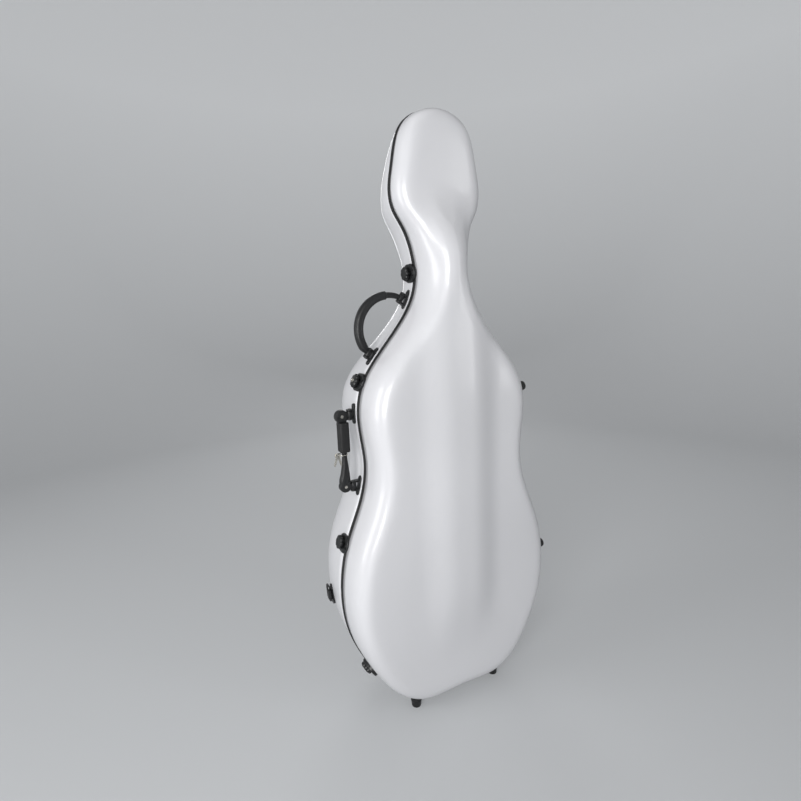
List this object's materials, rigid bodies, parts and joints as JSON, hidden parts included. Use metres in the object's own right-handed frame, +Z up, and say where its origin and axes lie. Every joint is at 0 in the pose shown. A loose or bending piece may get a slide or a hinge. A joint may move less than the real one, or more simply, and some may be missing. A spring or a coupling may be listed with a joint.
{
  "type": "cello hard case",
  "caption": "Tall hard case shaped like a cello: two glossy moulded shells hinged down one side, turn latches, rubber seam trim, carrying handles, feet and a padded lining.",
  "frame": {"origin": "on the floor, under the centre of the case's bounding box", "axes": "+Z up along the case's length with the case standing on its feet, +Y towards the back shell, -Y towards the lid, +X towards the hinges, -X towards the latches and handles"},
  "size_m": [0.5484, 0.286, 1.3498],
  "materials": {
    "shell_gloss": "gloss",
    "rubber_black": "matte",
    "moulded_black": "satin",
    "steel_black": "satin",
    "steel_bright": "polished",
    "plush_lining": "matte",
    "webbing": "matte"
  },
  "bodies": {
    "back": {"back_shell": "shell_gloss", "back_rim": "rubber_black", "back_foot_left": "rubber_black", "back_foot_right": "rubber_black", "back_side_foot_lower": "rubber_black", "back_side_foot_upper": "rubber_black", "latch_neck_plate": "moulded_black", "latch_upper_plate": "moulded_black", "latch_lower_plate": "moulded_black", "latch_bottom_plate": "moulded_black", "shoulder_bracket_lower": "moulded_black", "shoulder_bracket_upper": "moulded_black", "side_bracket_lower": "moulded_black", "side_bracket_upper": "moulded_black", "hinge_lower_base_leaf": "steel_black", "hinge_upper_base_leaf": "steel_black", "strap_left_plate": "steel_black", "strap_right_plate": "steel_black", "strap_top_plate": "steel_black", "back_lining": "plush_lining", "neck_cradle": "plush_lining", "end_block": "plush_lining", "body_cushion_left": "plush_lining", "body_cushion_right": "plush_lining", "neck_strap": "webbing"},
    "lid": {"front_shell": "shell_gloss", "lid_rim": "rubber_black", "lid_seal": "rubber_black", "lid_lining": "plush_lining", "hinge_lower_lid_leaf": "steel_black", "hinge_upper_lid_leaf": "steel_black", "latch_neck_keeper": "moulded_black", "latch_upper_keeper": "moulded_black", "latch_lower_keeper": "moulded_black", "latch_bottom_keeper": "moulded_black", "lid_foot_left": "rubber_black", "lid_foot_right": "rubber_black", "lid_side_foot_lower": "rubber_black", "lid_side_foot_upper": "rubber_black", "accessory_pocket": "plush_lining", "bow_tip_pocket": "plush_lining"},
    "shoulder_carry": {"shoulder_handle": "rubber_black"},
    "side_carry": {"side_handle": "moulded_black", "side_handle_grip": "rubber_black"},
    "keys": {"key_ring": "steel_bright", "key_front": "steel_bright", "key_rear": "steel_bright"},
    "bow_turn_left": {"bow_clip_left": "moulded_black"},
    "bow_turn_right": {"bow_clip_right": "moulded_black"},
    "neck_knob": {"latch_neck_knob": "moulded_black"},
    "neck_hook": {"latch_neck_hook": "steel_black"},
    "upper_knob": {"latch_upper_knob": "moulded_black"},
    "upper_hook": {"latch_upper_hook": "steel_black"},
    "lower_knob": {"latch_lower_knob": "moulded_black"},
    "lower_hook": {"latch_lower_hook": "steel_black"},
    "bottom_knob": {"latch_bottom_knob": "moulded_black"},
    "bottom_hook": {"latch_bottom_hook": "steel_black"},
    "ring_left": {"strap_left_ring": "steel_black"},
    "ring_right": {"strap_right_ring": "steel_black"},
    "ring_top": {"strap_top_ring": "steel_black"}
  },
  "joints": [
    {"name": "lid_hinge", "type": "hinge", "parent": "back", "child": "lid", "pos_m": [0.2377, -0.027, 0.5408], "axis": [-0.1472, 0, 0.9891], "range_deg": [0, 110]},
    {"name": "neck_latch_turn", "type": "hinge", "parent": "back", "child": "neck_knob", "pos_m": [-0.06234, -0.003, 1.01296], "axis": [-0.9957, 0, -0.0925], "range_deg": [0, 90]},
    {"name": "neck_latch_draw", "type": "slide", "parent": "back", "child": "neck_hook", "axis": [0, -1, 0], "range_m": [0, 0.005]},
    {"name": "upper_latch_turn", "type": "hinge", "parent": "back", "child": "upper_knob", "pos_m": [-0.19667, -0.003, 0.78082], "axis": [-0.9132, 0, 0.4074], "range_deg": [0, 90]},
    {"name": "upper_latch_draw", "type": "slide", "parent": "back", "child": "upper_hook", "axis": [0, -1, 0], "range_m": [0, 0.005]},
    {"name": "lower_latch_turn", "type": "hinge", "parent": "back", "child": "lower_knob", "pos_m": [-0.25351, -0.003, 0.41616], "axis": [-0.9528, 0, 0.3037], "range_deg": [0, 90]},
    {"name": "lower_latch_draw", "type": "slide", "parent": "back", "child": "lower_hook", "axis": [0, -1, 0], "range_m": [0, 0.005]},
    {"name": "bottom_latch_turn", "type": "hinge", "parent": "back", "child": "bottom_knob", "pos_m": [-0.20546, -0.003, 0.08025], "axis": [-0.8351, 0, -0.5501], "range_deg": [0, 90]},
    {"name": "bottom_latch_draw", "type": "slide", "parent": "back", "child": "bottom_hook", "axis": [0, -1, 0], "range_m": [0, 0.005]},
    {"name": "shoulder_handle_swing", "type": "hinge", "parent": "back", "child": "shoulder_carry", "pos_m": [-0.12279, -0.003, 0.90041], "axis": [0.5853, 0, 0.8108], "range_deg": [-75, 75]},
    {"name": "side_handle_swing", "type": "hinge", "parent": "back", "child": "side_carry", "pos_m": [-0.21759, -0.003, 0.62634], "axis": [-0.0021, 0, 1], "range_deg": [-70, 70]},
    {"name": "key_ring_swing", "type": "hinge", "parent": "side_carry", "child": "keys", "pos_m": [-0.23458, -0.003, 0.62069], "axis": [-0.0021, 0, 1], "range_deg": [-60, 60]},
    {"name": "strap_left_swing", "type": "hinge", "parent": "back", "child": "ring_left", "pos_m": [-0.26804, 0.065, 0.25434], "axis": [-0.0559, 0, 0.9984], "range_deg": [0, 110]},
    {"name": "strap_right_swing", "type": "hinge", "parent": "back", "child": "ring_right", "pos_m": [0.2562, 0.065, 0.25434], "axis": [0.0559, 0, 0.9984], "range_deg": [-110, 0]},
    {"name": "strap_top_swing", "type": "hinge", "parent": "back", "child": "ring_top", "pos_m": [-0.00592, 0.07813, 0.99261], "axis": [1, 0, 0], "range_deg": [0, 120]},
    {"name": "bow_clip_left_turn", "type": "hinge", "parent": "lid", "child": "bow_turn_left", "pos_m": [-0.13392, -0.1134, 0.19755], "axis": [0, 1, 0], "range_deg": [-90, 90]},
    {"name": "bow_clip_right_turn", "type": "hinge", "parent": "lid", "child": "bow_turn_right", "pos_m": [0.12208, -0.1134, 0.19755], "axis": [0, 1, 0], "range_deg": [-90, 90]}
  ],
  "couplings": [
    {"joint": "neck_latch_turn", "follows": "neck_latch_draw", "rad_per_m": 314.1},
    {"joint": "upper_latch_turn", "follows": "upper_latch_draw", "rad_per_m": 314.1},
    {"joint": "lower_latch_turn", "follows": "lower_latch_draw", "rad_per_m": 314.1},
    {"joint": "bottom_latch_turn", "follows": "bottom_latch_draw", "rad_per_m": 314.1}
  ]
}
